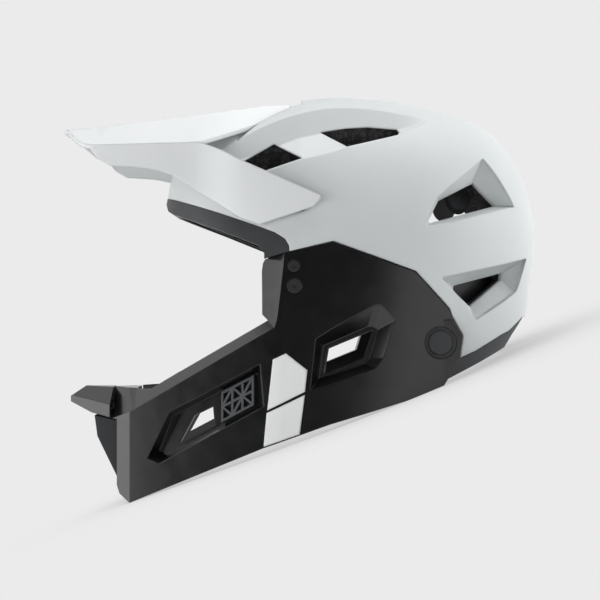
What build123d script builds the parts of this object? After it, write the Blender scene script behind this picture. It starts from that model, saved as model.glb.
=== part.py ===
"""A full face helmet for downhill riding, with a chin bar that comes off, in millimetres.

The pieces are drawn in the worn frame: X runs from the face to the nape, so the face
looks towards -X, Y runs from the rider's left (-Y) to the right (+Y), and Z is up.
Each finished piece is then laid down, so that the helmet stands on its chin and on the
two heels of its chin bar, with the floor at Z = 0.
"""

import math
import os

from build123d import *

# Driving sizes: the outlines below are drawn on a grid of these squares.
length_unit = 100.0
width_unit = 100.0
height_unit = 100.0

# Walls, fits and gaps
shell_wall = 3.0
foam_thickness = 25.0
layer_gap = 0.2
seam_gap = 0.5
seat_gap = 0.3
slide_fit = 0.1
hinge_fit = 0.05
cut_overrun = 2.0

# The pod that the dome's cross sections turn about, and how full they are
hub_place_share = (0.10, -0.95)
hub_radius = 20.0
section_side_power = 2.4
section_top_power = 3.2
section_turns = (8, 20, 33, 46, 58, 69, 80)
end_turn = 3.0

# The middle line of the dome from brow to nape, as (x, z, half width there) shares
crown_shares = (
    (-1.43, 0.20, 0.92),
    (-1.29, 0.70, 0.98),
    (-0.85, 1.01, 1.04),
    (-0.34, 1.16, 1.09),
    (0.17, 1.156, 1.11),
    (0.64, 1.06, 1.11),
    (1.00, 0.895, 1.09),
    (1.21, 0.59, 1.06),
    (1.30, 0.17, 1.01),
    (1.27, -0.22, 0.96),
    (1.18, -0.55, 0.92),
    (1.05, -0.80, 0.88),
)

# Side outlines, as (x, z) shares
brow_edge_shares = (
    (-1.392, 0.444),
    (-0.981, 0.31),
    (-0.691, 0.209),
    (-0.572, 0.163),
    (-0.501, 0.118),
    (-0.474, 0.071),
    (-0.47, 0.028),
)
brow_trim_low_shares = (
    (-0.647, -0.021),
    (-0.647, 0.018),
    (-0.663, 0.05),
    (-0.691, 0.075),
    (-0.981, 0.189),
    (-1.313, 0.311),
    (-1.346, 0.334),
)
panel_top_shares = (
    (-0.664, -0.06),
    (-0.641, -0.02),
    (-0.47, 0.028),
    (-0.175, 0.095),
    (0.38, -0.108),
    (0.613, -0.36),
    (0.63, -0.412),
    (0.71, -0.545),
    (0.69, -0.70),
    (0.596, -0.85),
)
rear_edge_shares = (
    (0.69, -0.70),
    (0.804, -0.65),
    (0.993, -0.543),
    (1.062, -0.512),
    (1.177, -0.418),
)
rear_trim_low_shares = (
    (1.183, -0.424),
    (1.089, -0.546),
    (1.037, -0.634),
    (0.849, -0.731),
    (0.604, -0.853),
)
shell_sky_shares = ((1.60, -0.418), (1.60, 1.50), (-1.80, 1.50), (-1.80, 0.577))
panel_slot_shares = ((-0.20, -1.40), (-0.90, -1.00))
liner_low_shares = (
    (-1.42, 0.60),
    (-1.28, 0.32),
    (-0.98, 0.205),
    (-0.69, 0.09),
    (-0.62, 0.035),
    (-0.60, -0.02),
    (-0.50, -0.28),
    (-0.35, -0.38),
    (0.66, -0.38),
    (0.735, -0.50),
    (0.735, -0.70),
    (0.84, -0.70),
    (1.02, -0.61),
    (1.08, -0.53),
    (1.16, -0.42),
    (1.45, -0.38),
    (1.45, 0.60),
)

# The chin bar's side outline, and the floor line that the helmet stands on
chin_tip_share = (-1.579, -1.727)
heel_share = (0.576, -0.88)
toe_share = (-1.61, -1.7392)
heel_start_share = (0.32, -0.9806)
chin_low_shares = ((-0.196, -1.144), (-0.649, -1.314))
chin_front_shares = (
    (-1.687, -1.677),
    (-1.707, -1.618),
    (-1.707, -1.151),
    (-1.906, -1.11),
    (-2.069, -1.037),
    (-2.069, -0.998),
    (-1.968, -0.927),
    (-1.595, -0.935),
    (-1.465, -0.934),
    (-1.044, -0.678),
    (-0.66, -0.446),
)

# The chin bar seen from above, as (x, half width) shares: its skin, then its inner face
panel_plan_shares = (
    (0.76, 0.91),
    (0.61, 1.005),
    (0.38, 1.073),
    (0.10, 1.08),
    (-0.17, 1.04),
    (-0.50, 0.965),
    (-0.65, 0.91),
)
bar_plan_shares = ((-1.61, 0.46), (-2.069, 0.12))
inner_plan_shares = ((-0.50, 0.893), (-0.65, 0.79), (-1.31, 0.48), (-1.50, 0.36), (-1.58, 0.24))
pocket_half_width_share = 0.89
panel_back_share = 0.90

# Creases of the chin bar, as (x, half width, z) shares: three points for each flat
long_bevel_shares = ((-1.576, 0.475, -1.072), (-0.575, 0.935, -0.485), (-1.044, 0.59, -0.678))
port_bevel_shares = ((-0.575, 0.935, -0.485), (-0.51, 0.96, 0.001), (-0.664, 0.80, -0.25))
brim_bevel_shares = ((-2.063, 0.12, -0.987), (-1.613, 0.46, -1.075), (-1.595, 0.18, -0.935))
long_bevel_area_shares = (
    (-1.76, -1.19),
    (-1.576, -1.072),
    (-0.575, -0.485),
    (-0.66, -0.40),
    (-1.50, -0.85),
    (-1.76, -0.90),
)
port_bevel_area_shares = (
    (-0.575, -0.485),
    (-0.545, -0.374),
    (-0.523, -0.30),
    (-0.51, 0.02),
    (-0.60, 0.05),
    (-0.85, 0.05),
    (-0.85, -0.48),
)
brim_bevel_area_shares = ((-2.15, -1.02), (-1.576, -1.09), (-1.576, -0.85), (-2.15, -0.85))

# Openings in the chin bar, as (x, z) shares
front_window_shares = (
    (-1.48, -1.42),
    (-1.392, -1.451),
    (-0.647, -1.026),
    (-0.675, -0.739),
    (-1.316, -1.087),
)
front_floor_shares = (
    (-1.40, -1.37),
    (-1.34, -1.40),
    (-0.69, -1.03),
    (-0.70, -0.80),
    (-1.30, -1.12),
)
front_hole_shares = ((-1.141, -1.112), (-1.008, -1.045), (-0.996, -1.178), (-1.246, -1.305))
front_window_depth = 9.0
rear_window_shares = (
    (-0.30, -0.56),
    (0.105, -0.334),
    (0.146, -0.334),
    (0.245, -0.432),
    (0.158, -0.692),
    (0.106, -0.765),
    (-0.34, -0.925),
)
rear_floor_shares = (
    (-0.24, -0.61),
    (0.06, -0.48),
    (0.10, -0.48),
    (0.13, -0.50),
    (0.07, -0.70),
    (0.05, -0.735),
    (-0.275, -0.84),
)
rear_hole_shares = ((-0.208, -0.633), (0.09, -0.507), (0.032, -0.691), (-0.236, -0.801))
rear_window_depth = 9.0
mouth_hole_shares = ((-1.80, -1.22), (-1.40, -1.22), (-1.40, -1.54), (-1.80, -1.54))
mouth_hole_half_width = 21.0
brim_hollow_shares = ((-1.97, -1.05), (-1.745, -1.05), (-1.745, -1.20), (-1.97, -1.20))
brim_hollow_half_width = 24.0
cheek_place_share = (0.0, 1.06, -0.60)
cheek_lie_share = 0.13
frame_wall = 4.0

chin_foam_shares = (
    (-0.43, -0.08),
    (-0.16, 0.02),
    (0.34, -0.16),
    (0.48, -0.31),
    (0.40, -0.36),
    (0.28, -0.33),
    (0.16, -0.26),
    (0.09, -0.26),
    (-0.30, -0.48),
    (-0.42, -0.42),
)

# White stripe over the pillar between the windows
stripe_top_shares = (
    (-0.585, -0.706),
    (-0.496, -0.664),
    (-0.35, -0.777),
    (-0.366, -0.923),
    (-0.623, -1.054),
)
stripe_low_shares = ((-0.628, -1.074), (-0.367, -0.945), (-0.402, -1.212), (-0.649, -1.304))
stripe_thickness = 2.0
stripe_proud = 0.4

# Lattice grille in the front window
grille_shares = ((-0.93, -1.14), (-0.715, -1.02), (-0.715, -0.83), (-0.93, -0.945))
grille_thickness = 2.4
grille_bar = 1.7
grille_bays = 3
grille_rows = 2

# Mouth vent under the brim
mouth_side_shares = ((-1.709, -1.17), (-1.88, -1.13), (-1.86, -1.28), (-1.709, -1.59))
mouth_core_shares = ((-1.60, -1.195), (-1.855, -1.157), (-1.835, -1.27), (-1.709, -1.53), (-1.60, -1.53))
mouth_half_width = 26.0
mouth_wall = 2.5
mouth_slot_height = 4.4
mouth_slot_pitch = 8.0
mouth_slots = 4
mouth_slot_share = -1.22

# Release button and latch on each side
button_share = (0.55, -0.589)
boss_shares = (
    (0.38, -0.46),
    (0.30, -0.80),
    (0.575, -0.87),
    (0.68, -0.70),
    (0.70, -0.55),
    (0.625, -0.43),
)
boss_half_width = 102.0
button_radius = 8.2
button_height = 4.6
button_travel = 3.0
bezel_radius = 10.9
bezel_height = 4.0
bezel_proud = 0.3
stem_radius = 2.4
stem_length = 13.0
spring_coil_radius = 4.6
spring_wire_radius = 0.4
spring_turns = 3
spring_well_radius = 6.5
spring_well_floor = 92.0
bolt_width = 4.0
bolt_height = 6.0
bolt_start = 7.0
bolt_length = 18.0
bolt_travel = 4.0
latch_half_width = 75.0
latch_back = 12.0
latch_front = 12.0
latch_height = 16.0
bolt_level = 77.0
receiver_start = 17.2
receiver_length = 12.0
receiver_height = 13.0
receiver_depth = 6.4
receiver_level = 74.0

# Plugs above the window, and the visor's pivots
plug_shares = ((-0.443, -0.069, 0.04), (-0.439, -0.205, 0.05))
plug_length = 4.0
plug_half_width_share = 0.985
plug_socket_radius = 1.6
plug_socket_depth = 1.5
visor_pivot_share = (-0.40, 0.376)
pivot_radius = 4.0
pivot_inner = 88.5
pivot_outer = 99.0
socket_radius = 7.0
socket_inner = 86.0
socket_outer = 96.3

# The visor: stations of its roof as (x, middle z, shoulder y, shoulder z, edge y, edge z)
roof_shares = (
    (-2.16, 0.94, 0.28, 0.915, 0.56, 0.78),
    (-1.81, 0.97, 0.30, 0.945, 0.62, 0.79),
    (-1.10, 1.055, 0.32, 1.03, 0.70, 0.80),
    (-0.68, 1.12, 0.31, 1.09, 0.455, 0.955),
    (-0.465, 1.126, 0.26, 1.105, 0.34, 1.035),
)
roof_plan_shares = (
    (-2.12, 0.0),
    (-2.11, 0.14),
    (-2.05, 0.35),
    (-1.95, 0.545),
    (-1.87, 0.605),
    (-1.81, 0.625),
    (-1.10, 0.715),
    (-0.40, 0.715),
    (-0.40, 0.0),
)
arm_plan_shares = (
    (-1.90, 0.59),
    (-1.814, 0.62),
    (-1.102, 0.72),
    (-0.80, 0.905),
    (-0.47, 0.995),
    (-0.20, 1.04),
)
arm_side_shares = (
    (-1.872, 0.759),
    (-1.814, 0.789),
    (-1.102, 0.799),
    (-0.938, 0.735),
    (-0.797, 0.658),
    (-0.468, 0.505),
    (-0.265, 0.415),
    (-0.256, 0.395),
    (-0.306, 0.334),
    (-0.672, 0.216),
    (-0.699, 0.223),
    (-0.81, 0.267),
    (-1.251, 0.544),
    (-1.281, 0.567),
    (-1.394, 0.603),
    (-1.52, 0.628),
    (-1.688, 0.638),
    (-1.73, 0.638),
    (-1.816, 0.689),
)
visor_wall = 3.0
tail_clearance = 3.5
tail_side_gap = 2.5
tail_end_gap = 7.5

# Channel beside the crown: stations as (x, ridge y, z, valley y, z, shoulder y, z)
channel_shares = (
    (-1.00, 0.56, 0.76, 0.63, 0.60, 0.72, 0.49),
    (-0.82, 0.56, 0.85, 0.63, 0.68, 0.765, 0.54),
    (-0.40, 0.54, 1.01, 0.61, 0.835, 0.845, 0.66),
    (-0.08, 0.54, 1.025, 0.60, 0.90, 0.835, 0.75),
    (0.28, 0.55, 1.004, 0.61, 0.89, 0.74, 0.845),
    (0.50, 0.54, 0.975, 0.56, 0.962, 0.62, 0.935),
)
channel_reach = 2.4
vent_one_shares = ((-0.804, 0.661), (-0.582, 0.792), (-0.386, 0.677), (-0.65, 0.589))
vent_two_shares = (
    (-0.26, 0.875),
    (-0.072, 0.903),
    (0.078, 0.91),
    (0.28, 0.892),
    (0.292, 0.868),
    (0.277, 0.844),
    (-0.076, 0.756),
)
crown_vent_inner_share = 0.56

# Side vents: the place and lie of each, its rim, its floor and its hole
upper_vent_place_share = (0.75, 0.86, 0.38)
upper_vent_lie = (0.48, 0.834, 0.27)
upper_rim_shares = (
    (0.869, 0.682),
    (1.093, 0.347),
    (0.411, 0.166),
    (0.418, 0.194),
    (0.533, 0.401),
)
upper_hole_shares = (
    (0.81, 0.517),
    (0.968, 0.36),
    (0.49, 0.225),
    (0.475, 0.239),
    (0.55, 0.381),
)
lower_vent_place_share = (0.90, 0.78, -0.20)
lower_vent_lie = (0.594, 0.799, 0.092)
lower_rim_shares = (
    (0.551, -0.151),
    (1.175, -0.011),
    (1.093, -0.244),
    (0.797, -0.435),
    (0.70, -0.33),
)
lower_hole_shares = (
    (0.657, -0.201),
    (1.02, -0.11),
    (1.013, -0.161),
    (0.775, -0.347),
    (0.649, -0.231),
)
back_vent_place_share = (1.20, 0.0, 0.60)
back_vent_lie = (0.88, 0.0, 0.475)
back_rim_shares = ((-0.30, -0.22), (0.30, -0.22), (0.38, 0.24), (-0.38, 0.24))
back_hole_shares = ((-0.20, -0.13), (0.20, -0.13), (0.27, 0.14), (-0.27, 0.14))
vent_depth = 11.0

# Pads, straps and the fitting band inside
pad_clearance = 0.3
pad_thickness = 9.0
brow_pad_shares = ((-1.30, 0.42), (-0.72, 0.17), (-0.68, 0.33), (-1.26, 0.60))
crown_pad_side_shares = ((-0.62, 0.5), (0.62, 0.5), (0.62, 1.3), (-0.62, 1.3))
crown_pad_inner_share = 0.10
crown_pad_outer_share = 0.34
ear_pad_shares = ((-0.40, -0.10), (0.22, -0.04), (0.26, -0.30), (-0.02, -0.36), (-0.32, -0.34))
ear_pad_thickness = 12.0
cheek_pad_shares = ((0.17, -0.46), (0.28, -0.46), (0.42, -0.72), (0.44, -0.86), (0.22, -0.88))
cheek_pad_level = 89.0
cheek_pad_thickness = 20.0
pad_round = 4.0
chin_pad_half_width = 22.0
chin_pad_thickness = 8.0
chin_pad_height = 20.0
chin_pad_share = -1.09
strap_width = 16.0
strap_thickness = 1.6
strap_place_share = 0.40
strap_path_shares = (
    (-0.754, -0.20),
    (-0.752, -0.36),
    (-0.62, -0.52),
    (-0.52, -0.70),
    (-0.36, -0.82),
    (-0.13, -0.82),
)
strap_corner = 5.0
anchor_share = (0.40, -0.27)
anchor_radius = 6.0
anchor_height = 2.0
anchor_pin = 2.5
anchor_end = 86.0
buckle_height = 7.0
buckle_width = 20.0
buckle_wall = 1.8
tab_reach = 8.0
magnet_radius = 4.0
magnet_height = 1.6
cradle_inset = 4.0
cradle_thickness = 1.8
cradle_shares = (
    (0.52, -0.19),
    (0.60, -0.20),
    (0.90, -0.12),
    (1.05, -0.16),
    (1.05, -0.50),
    (0.86, -0.52),
    (0.60, -0.38),
    (0.52, -0.34),
)
dial_height_share = -0.36
dial_radius = 13.0
dial_thickness = 6.8
dial_ribs = 16
dial_rib_radius = 1.1
dial_back = 104.0
housing_reach = 14.0
spindle_length = 2.4
housing_width = 34.0
housing_height = 24.0
spindle_radius = 3.0
dial_pocket_half_width = 21.0
dial_pocket_top_share = -0.18
dial_pocket_reach = 115.0
disc_radius = 9.0
disc_thickness = 3.0
disc_turns = ((-22, 20), (24, 20))

hub_x = hub_place_share[0] * length_unit
hub_z = hub_place_share[1] * height_unit
button_x = button_share[0] * length_unit
button_z = button_share[1] * height_unit
heel_x = heel_share[0] * length_unit
heel_z = heel_share[1] * height_unit
chin_x = chin_tip_share[0] * length_unit
chin_z = chin_tip_share[1] * height_unit
floor_tilt = math.degrees(math.atan2(heel_z - chin_z, heel_x - chin_x))
far = 3 * length_unit


def side(shares):
    """Points of a side outline in the worn frame's X and Z."""
    return [(x * length_unit, z * height_unit) for x, z in shares]


def place(share):
    """A point from its (x, half width, z) shares, on the rider's left."""
    return Vector(share[0] * length_unit, -share[1] * width_unit, share[2] * height_unit)


def side_prism(points, inner, outer, grow=0.0):
    """A side outline as a slab on the rider's left, between two half widths."""
    with BuildPart() as slab:
        with BuildSketch(Plane.XZ.offset(inner)):
            with BuildLine():
                Polyline(*points, close=True)
            make_face()
            if grow:
                offset(amount=grow, kind=Kind.INTERSECTION)
        extrude(amount=outer - inner)
    return slab.part


def half_space(shares):
    """The solid outside the flat through three points of the left side, away from the head."""
    first, second, third = [place(share) for share in shares]
    across = (second - first).cross(third - first).normalized()
    if across.Y > 0:
        across = -across
    with BuildPart() as block:
        with BuildSketch(Plane(origin=first, x_dir=(second - first), z_dir=across)):
            Rectangle(2 * far, 2 * far)
        extrude(amount=far)
    return block.part


def seen_on(plane, points):
    """Side view points carried across the head onto a plane, in the plane's own coordinates."""
    lie = plane.z_dir
    found = []
    for x, z in points:
        run = lie.X * (x - plane.origin.X) + lie.Z * (z - plane.origin.Z)
        spot = Vector(x, plane.origin.Y - run / lie.Y, z)
        local = plane.to_local_coords(spot)
        found.append((local.X, local.Y))
    return found


def arch(reach, width, core):
    """One cross section of the dome, from the left of its hub over the top to the right."""
    rise = 2 / section_top_power
    spread = 2 / section_side_power
    side_points = []
    for turn in section_turns:
        angle = math.radians(turn)
        side_points.append((width * math.cos(angle) ** spread, reach * math.sin(angle) ** rise))
    foot = width * (1 - (core / reach) ** section_top_power) ** (1 / section_side_power)
    left = [(-foot, core)] + [(-y, r) for y, r in side_points]
    right = [(y, r) for y, r in reversed(side_points)] + [(foot, core)]
    return left + [(0, reach)] + right


def dome(inset, core=hub_radius):
    """The helmet's dome, drawn in by inset: cross sections that turn about its hub."""
    stations = []
    for x_share, z_share, width_share in crown_shares:
        run = x_share * length_unit - hub_x
        rise = z_share * height_unit - hub_z
        stations.append((math.atan2(run, rise), math.hypot(run, rise), width_share * width_unit))
    first_turn, first_reach, first_width = stations[0]
    last_turn, last_reach, last_width = stations[-1]
    overrun = math.radians(end_turn)
    stations.insert(0, (first_turn - overrun, first_reach, first_width))
    stations.append((last_turn + overrun, last_reach, last_width))
    with BuildPart() as body:
        for turn, reach, width in stations:
            section = Plane(
                origin=(hub_x, 0, hub_z),
                x_dir=(0, 1, 0),
                z_dir=(math.cos(turn), 0, -math.sin(turn)),
            )
            points = arch(reach - inset, width - inset, core)
            with BuildSketch(section):
                with BuildLine():
                    Spline(*points, tangents=((0, 1), (0, -1)))
                    Line(points[-1], points[0])
                make_face()
        loft()
    return body.part


def skin_piece(outline, outer_inset, inner_inset):
    """What an outline cuts out of the dome's skin between two insets."""
    with BuildPart() as piece:
        add(dome(outer_inset))
        add(outline, mode=Mode.INTERSECT)
        add(dome(inner_inset, hub_radius / 2), mode=Mode.SUBTRACT)
    return piece.part


def both(part):
    """A left piece and its mirror image."""
    return [part, mirror(part, about=Plane.XZ)]




# Cutters that shape the dome


def channel(grow):
    """The hollow between the crown's ridge and the left shoulder, grown outwards by grow."""
    last = len(channel_shares) - 1
    with BuildPart() as hollow:
        for number, station in enumerate(channel_shares):
            x_share, ridge_y, ridge_z, valley_y, valley_z, shoulder_y, shoulder_z = station
            x = x_share * length_unit
            if number == 0:
                x -= grow
            if number == last:
                x += grow
            valley = Vector(-valley_y * width_unit, valley_z * height_unit)
            ridge = Vector(-ridge_y * width_unit, ridge_z * height_unit) - valley
            shoulder = Vector(-shoulder_y * width_unit, shoulder_z * height_unit) - valley
            corners = [
                valley,
                valley + ridge * channel_reach,
                valley + (ridge + shoulder) * channel_reach,
                valley + shoulder * channel_reach,
            ]
            with BuildSketch(Plane.YZ.offset(x)):
                with BuildLine():
                    Polyline(*corners, close=True)
                make_face()
                if grow:
                    offset(amount=grow, kind=Kind.INTERSECTION)
        loft(ruled=True)
    return hollow.part


def vent_plane(place_share, lie):
    """The plane of a vent's rim on the left of the dome."""
    across = Vector(lie[0], -lie[1], lie[2]).normalized()
    along = Vector(0, 0, 1).cross(across).normalized()
    return Plane(origin=place(place_share), x_dir=along, z_dir=across)


def funnel(plane, rim, floor, depth, grow):
    """A vent's sloped recess: from its rim down to its floor, and open outwards."""
    with BuildPart() as recess:
        with BuildSketch(plane):
            with BuildLine():
                Polyline(*rim, close=True)
            make_face()
            if grow:
                offset(amount=grow, kind=Kind.INTERSECTION)
        extrude(amount=length_unit / 2)
        with BuildSketch(plane):
            with BuildLine():
                Polyline(*rim, close=True)
            make_face()
            if grow:
                offset(amount=grow, kind=Kind.INTERSECTION)
        with BuildSketch(plane.offset(-depth - grow)):
            with BuildLine():
                Polyline(*floor, close=True)
            make_face()
            if grow:
                offset(amount=grow, kind=Kind.INTERSECTION)
        loft(ruled=True)
    return recess.part


def shaft(plane, outline, depth):
    """A straight hole with the given outline, from far outside down to a depth."""
    with BuildPart() as hole:
        with BuildSketch(plane.offset(-depth)):
            with BuildLine():
                Polyline(*outline, close=True)
            make_face()
        extrude(amount=depth + length_unit / 2)
    return hole.part


upper_plane = vent_plane(upper_vent_place_share, upper_vent_lie)
lower_plane = vent_plane(lower_vent_place_share, lower_vent_lie)
back_plane = vent_plane(back_vent_place_share, back_vent_lie)
upper_rim = seen_on(upper_plane, side(upper_rim_shares))
upper_floor = seen_on(upper_plane.offset(-vent_depth), side(upper_hole_shares))
lower_rim = seen_on(lower_plane, side(lower_rim_shares))
lower_floor = seen_on(lower_plane.offset(-vent_depth), side(lower_hole_shares))
back_rim = [(y * width_unit, z * height_unit) for y, z in back_rim_shares]
back_floor = [(y * width_unit, z * height_unit) for y, z in back_hole_shares]


def recesses(grow):
    """All hollows that the vents make in the dome."""
    found = both(channel(grow))
    found += both(funnel(upper_plane, upper_rim, upper_floor, vent_depth, grow))
    found += both(funnel(lower_plane, lower_rim, lower_floor, vent_depth, grow))
    found.append(funnel(back_plane, back_rim, back_floor, vent_depth, grow))
    return found


def vent_holes(depth, inner):
    """The holes through the dome inside the vents' hollows."""
    found = both(side_prism(side(vent_one_shares), inner, far))
    found += both(side_prism(side(vent_two_shares), inner, far))
    found += both(shaft(upper_plane, upper_floor, depth))
    found += both(shaft(lower_plane, lower_floor, depth))
    found.append(shaft(back_plane, back_floor, depth))
    return found


def roof(top, bottom, side_gap=0.0, last_gap=0.0):
    """The visor's pitched roof between two heights, longer and wider by the gaps."""
    last = len(roof_shares) - 1
    with BuildPart() as plate:
        for number, station in enumerate(roof_shares):
            x_share, middle, shoulder_y, shoulder_z, edge_y, edge_z = station
            spread = 1 + side_gap / (width_unit * (edge_y - shoulder_y))
            edge_y = shoulder_y + (edge_y - shoulder_y) * spread
            edge_z = shoulder_z + (edge_z - shoulder_z) * spread
            line = [
                (-edge_y * width_unit, edge_z * height_unit),
                (-shoulder_y * width_unit, shoulder_z * height_unit),
                (0, middle * height_unit),
                (shoulder_y * width_unit, shoulder_z * height_unit),
                (edge_y * width_unit, edge_z * height_unit),
            ]
            x = x_share * length_unit
            if number == last:
                x += last_gap
            upper = [(y, z + top) for y, z in line]
            lower = [(y, z - bottom) for y, z in reversed(line)]
            with BuildSketch(Plane.YZ.offset(x)):
                with BuildLine():
                    Polyline(*upper, *lower, close=True)
                make_face()
        loft(ruled=True)
    return plate.part


def crossed(first, second):
    """What two solids have in common."""
    with BuildPart() as common:
        add(first)
        add(second, mode=Mode.INTERSECT)
    return common.part


def profile_slab(points, shrink=0.0, half_width=far):
    """A side outline as a slab right across the helmet, drawn in by shrink."""
    with BuildPart() as slab:
        with BuildSketch(Plane.XZ.offset(-half_width)):
            with BuildLine():
                Polyline(*points, close=True)
            make_face()
            if shrink:
                offset(amount=-shrink, kind=Kind.INTERSECTION)
        extrude(amount=2 * half_width)
    return slab.part


def peg(share, radius, inner, outer):
    """A round peg along Y on the left, between two half widths."""
    with BuildPart() as post:
        with BuildSketch(Plane.XZ.offset(inner)):
            with Locations((share[0] * length_unit, share[1] * height_unit)):
                Circle(radius)
        extrude(amount=outer - inner)
    return post.part


pocket_half_width = pocket_half_width_share * width_unit

# Latch sizes, measured from the button's axis along the way the chin bar comes off
tilt_turn = math.radians(floor_tilt)


def latch_block(start, reach, height, inner, outer):
    """A block beside the button's axis, between two half widths on the left."""
    with BuildPart() as block:
        with BuildSketch(
            Plane(
                origin=(button_x, -inner, button_z),
                x_dir=(math.cos(tilt_turn), 0, math.sin(tilt_turn)),
                z_dir=(0, -1, 0),
            )
        ):
            with Locations((start + reach / 2, 0)):
                Rectangle(reach, height)
        extrude(amount=outer - inner)
    return block.part


# Dome of the shell
shell_under = shell_wall + layer_gap
white_edge = side(brow_edge_shares + panel_top_shares[3:-1] + rear_edge_shares[1:])
white_area = white_edge + side(shell_sky_shares)
panel_slot = profile_slab(side(panel_top_shares + panel_slot_shares), -seam_gap)
tail_level = visor_wall + tail_clearance
socket_bores = both(
    peg(visor_pivot_share, socket_radius + slide_fit, socket_inner - slide_fit, far)
)

with BuildPart() as lining:
    add(dome(shell_wall, hub_radius / 2))
    add(recesses(shell_wall), mode=Mode.SUBTRACT)
    add(
        roof(far / 2, tail_level + shell_wall, tail_side_gap, tail_end_gap + shell_wall),
        mode=Mode.SUBTRACT,
    )

with BuildPart() as outer_shell:
    add(dome(0))
    add(recesses(0), mode=Mode.SUBTRACT)
    add(roof(far / 2, tail_level, tail_side_gap, tail_end_gap), mode=Mode.SUBTRACT)
    add(profile_slab(white_area), mode=Mode.INTERSECT)
    add(panel_slot, mode=Mode.SUBTRACT)
    add(lining.part, mode=Mode.SUBTRACT)
    add(vent_holes(2 * vent_depth, crown_vent_inner_share * width_unit), mode=Mode.SUBTRACT)
    add(socket_bores, mode=Mode.SUBTRACT)

# Foam liner inside the shell
trim_depth = foam_thickness / 2
cavity_inset = shell_under + foam_thickness
foam_level = trim_depth + layer_gap

with BuildPart() as liner_low:
    add(dome(foam_level))
    add(profile_slab(side(liner_low_shares), 0, pocket_half_width), mode=Mode.INTERSECT)

with BuildPart() as foam_liner:
    add(dome(shell_under))
    add(profile_slab(white_area, seat_gap), mode=Mode.INTERSECT)
    add(panel_slot, mode=Mode.SUBTRACT)
    add(liner_low.part)
    add(recesses(shell_under), mode=Mode.SUBTRACT)
    add(
        roof(far / 2, tail_level + shell_under, tail_side_gap, tail_end_gap + shell_under),
        mode=Mode.SUBTRACT,
    )
    add(dome(cavity_inset, hub_radius / 3), mode=Mode.SUBTRACT)
    add(vent_holes(2 * foam_thickness, crown_vent_inner_share * width_unit), mode=Mode.SUBTRACT)
    add(socket_bores, mode=Mode.SUBTRACT)
    add(
        both(
            latch_block(
                -receiver_length,
                receiver_start + 2 * receiver_length + seat_gap,
                receiver_height + 2 * seat_gap,
                receiver_level - seat_gap,
                far,
            )
        ),
        mode=Mode.SUBTRACT,
    )
    add(both(peg(anchor_share, anchor_pin + slide_fit, 0, anchor_end)), mode=Mode.SUBTRACT)
    with BuildSketch(Plane.XY.offset(dial_pocket_top_share * height_unit)):
        with Locations((dial_pocket_reach - far / 2, 0)):
            Rectangle(far, 2 * dial_pocket_half_width)
    extrude(amount=-far, mode=Mode.SUBTRACT)

# Trim along the brow and around the nape
brow_area = profile_slab(side(brow_edge_shares + brow_trim_low_shares), layer_gap)
with BuildPart() as brow_trim:
    add(skin_piece(brow_area, 0, trim_depth))
    add(panel_slot, mode=Mode.SUBTRACT)

rear_area = profile_slab(side(rear_edge_shares + rear_trim_low_shares), layer_gap)
with BuildPart() as rear_trim:
    add(skin_piece(rear_area, 0, trim_depth))
    add(panel_slot, mode=Mode.SUBTRACT)

# Chin bar: a side outline crossed with an outline seen from above
frame_side = side(
    (toe_share,)
    + chin_front_shares
    + panel_top_shares
    + (heel_share, heel_start_share)
    + chin_low_shares
)
slab_low = -2 * height_unit
slab_height = 3 * height_unit
panel_plan = [(x * length_unit, -y * width_unit) for x, y in panel_plan_shares]
bar_plan = [(x * length_unit, -y * width_unit) for x, y in bar_plan_shares]
inner_plan = [(x * length_unit, -y * width_unit) for x, y in inner_plan_shares]
bar_run = Vector(*bar_plan[0]) - Vector(*panel_plan[-1])


def plan_slab(inset=0.0):
    """The left half inside the chin bar's skin as a tall slab, moved inwards by inset."""
    with BuildPart() as slab:
        with BuildSketch(Plane.XY.offset(slab_low)):
            with BuildLine():
                Spline(*panel_plan, tangents=((-1, -1), bar_run))
                Polyline(
                    panel_plan[-1],
                    *bar_plan,
                    (bar_plan[-1][0], 0),
                    (panel_plan[0][0], 0),
                    panel_plan[0],
                )
            make_face()
        extrude(amount=slab_height)
    return Pos(0, inset, 0) * slab.part


def beyond(outline, inset, grow=0.0):
    """What lies outside the chin bar's skin moved inwards by inset, seen through an outline."""
    with BuildPart() as block:
        add(side_prism(outline, frame_wall, far, grow))
        add(plan_slab(inset), mode=Mode.SUBTRACT)
    return block.part


def shaving(area_shares, flat_shares):
    """What a crease's flat takes off inside an area of the side view."""
    return crossed(side_prism(side(area_shares), 0, far), half_space(flat_shares))


bar_plane = Plane(
    origin=Vector(panel_plan[-1][0], panel_plan[-1][1], -height_unit),
    x_dir=-bar_run,
    z_dir=(-bar_run.Y, bar_run.X, 0),
)
cheek_plane = Plane(
    origin=place(cheek_place_share),
    x_dir=(1, -cheek_lie_share, 0),
    z_dir=(-cheek_lie_share, -1, 0),
)
front_rim = seen_on(bar_plane, side(front_window_shares))
front_base = bar_plane.offset(-front_window_depth)
front_floor = seen_on(front_base, side(front_floor_shares))
front_hole = seen_on(front_base, side(front_hole_shares))
rear_rim = seen_on(cheek_plane, side(rear_window_shares))
rear_base = cheek_plane.offset(-rear_window_depth)
rear_floor = seen_on(rear_base, side(rear_floor_shares))
rear_hole = seen_on(rear_base, side(rear_hole_shares))
bezel_seat = boss_half_width - bezel_height
button_floor = bezel_seat - button_travel - slide_fit
plug_out = plug_half_width_share * width_unit
frame_inner = [
    (panel_back_share * length_unit, 0),
    (panel_back_share * length_unit, -pocket_half_width - seat_gap),
    (inner_plan[0][0], -pocket_half_width - seat_gap),
    *inner_plan[1:],
    (inner_plan[-1][0], 0),
]
foam_space = crossed(
    side_prism(side(chin_foam_shares), pocket_half_width, far), plan_slab(frame_wall)
)
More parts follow.
